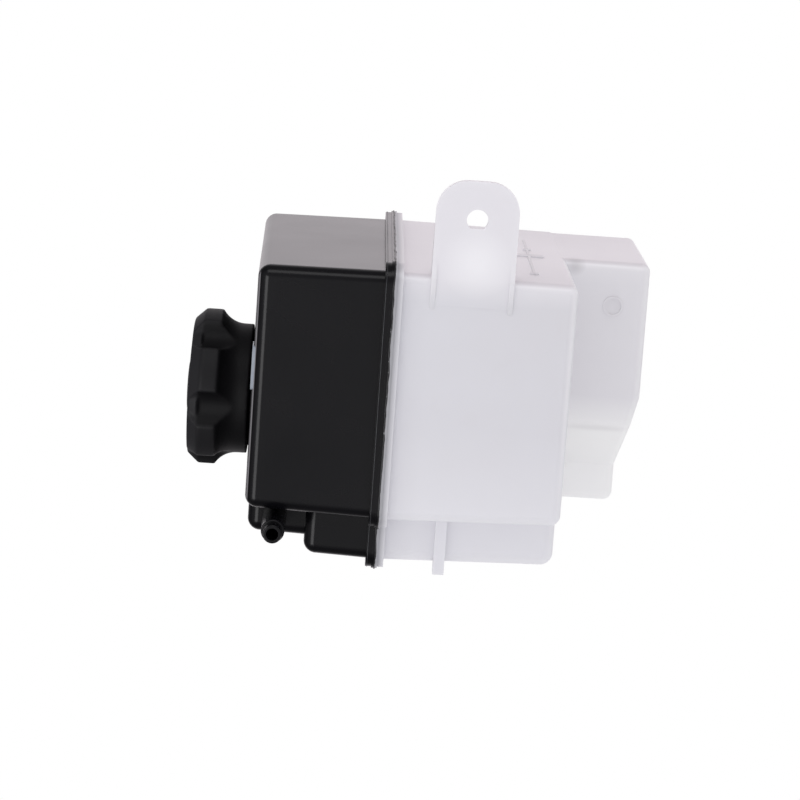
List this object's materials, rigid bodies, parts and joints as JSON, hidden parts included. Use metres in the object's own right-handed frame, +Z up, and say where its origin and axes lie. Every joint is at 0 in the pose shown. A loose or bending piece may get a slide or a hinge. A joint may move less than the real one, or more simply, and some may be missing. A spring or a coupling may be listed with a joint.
{
  "type": "coolant expansion tank",
  "caption": "Welded plastic coolant reservoir with a mounting eye, a vent nipple, a return outlet and a lobed screw cap holding pressure and vacuum valves.",
  "frame": {"origin": "centre of the mounting eye's hole, at mid-thickness of the tab", "axes": "+Z up along the cap's axis, towards the cap; +X from the tank towards the mounting eye; +Y away from the near face that carries the tab"},
  "size_m": [0.1659, 0.1985, 0.1929],
  "materials": {
    "black_shell": "satin black moulded polypropylene",
    "natural_shell": "natural translucent white moulded polypropylene",
    "cap_plastic": "finely textured matte black plastic",
    "valve_plastic": "grey glass-filled plastic",
    "seal_rubber": "black rubber",
    "valve_steel": "pressed stainless steel",
    "spring_steel": "bright spring steel"
  },
  "bodies": {
    "tank": {"upper_shell": "black_shell", "lower_shell": "natural_shell"},
    "valve_insert": {"valve_housing": "valve_plastic", "valve_cover": "valve_plastic", "cap_gasket": "seal_rubber", "upper_o_ring": "seal_rubber", "lower_o_ring": "seal_rubber", "pressure_spring": "spring_steel"},
    "grip": {"cap_grip": "cap_plastic", "retaining_ring": "spring_steel"},
    "pressure_valve": {"pressure_plate": "valve_steel", "pressure_seal": "seal_rubber", "vacuum_spring": "spring_steel"},
    "vacuum_poppet": {"vacuum_valve": "valve_steel", "vacuum_seal": "seal_rubber", "spring_clip": "spring_steel"}
  },
  "joints": [
    {"name": "cap_lift", "type": "slide", "parent": "tank", "child": "valve_insert", "axis": [0, 0, 1], "range_m": [0, 0.008]},
    {"name": "cap_turn", "type": "hinge", "parent": "valve_insert", "child": "grip", "pos_m": [-0.0881, 0.0722, 0.1], "axis": [0, 0, 1], "range_deg": [0, 720]},
    {"name": "pressure_valve_lift", "type": "slide", "parent": "valve_insert", "child": "pressure_valve", "axis": [0, 0, 1], "range_m": [0, 0.0025], "stiffness_N_per_m": 800, "deforming": ["pressure_spring"]},
    {"name": "vacuum_valve_drop", "type": "slide", "parent": "pressure_valve", "child": "vacuum_poppet", "axis": [0, 0, -1], "range_m": [0, 0.0015], "stiffness_N_per_m": 100, "deforming": ["vacuum_spring"]}
  ],
  "couplings": [
    {"joint": "cap_lift", "follows": "cap_turn", "m_per_rad": 0.00063662}
  ]
}
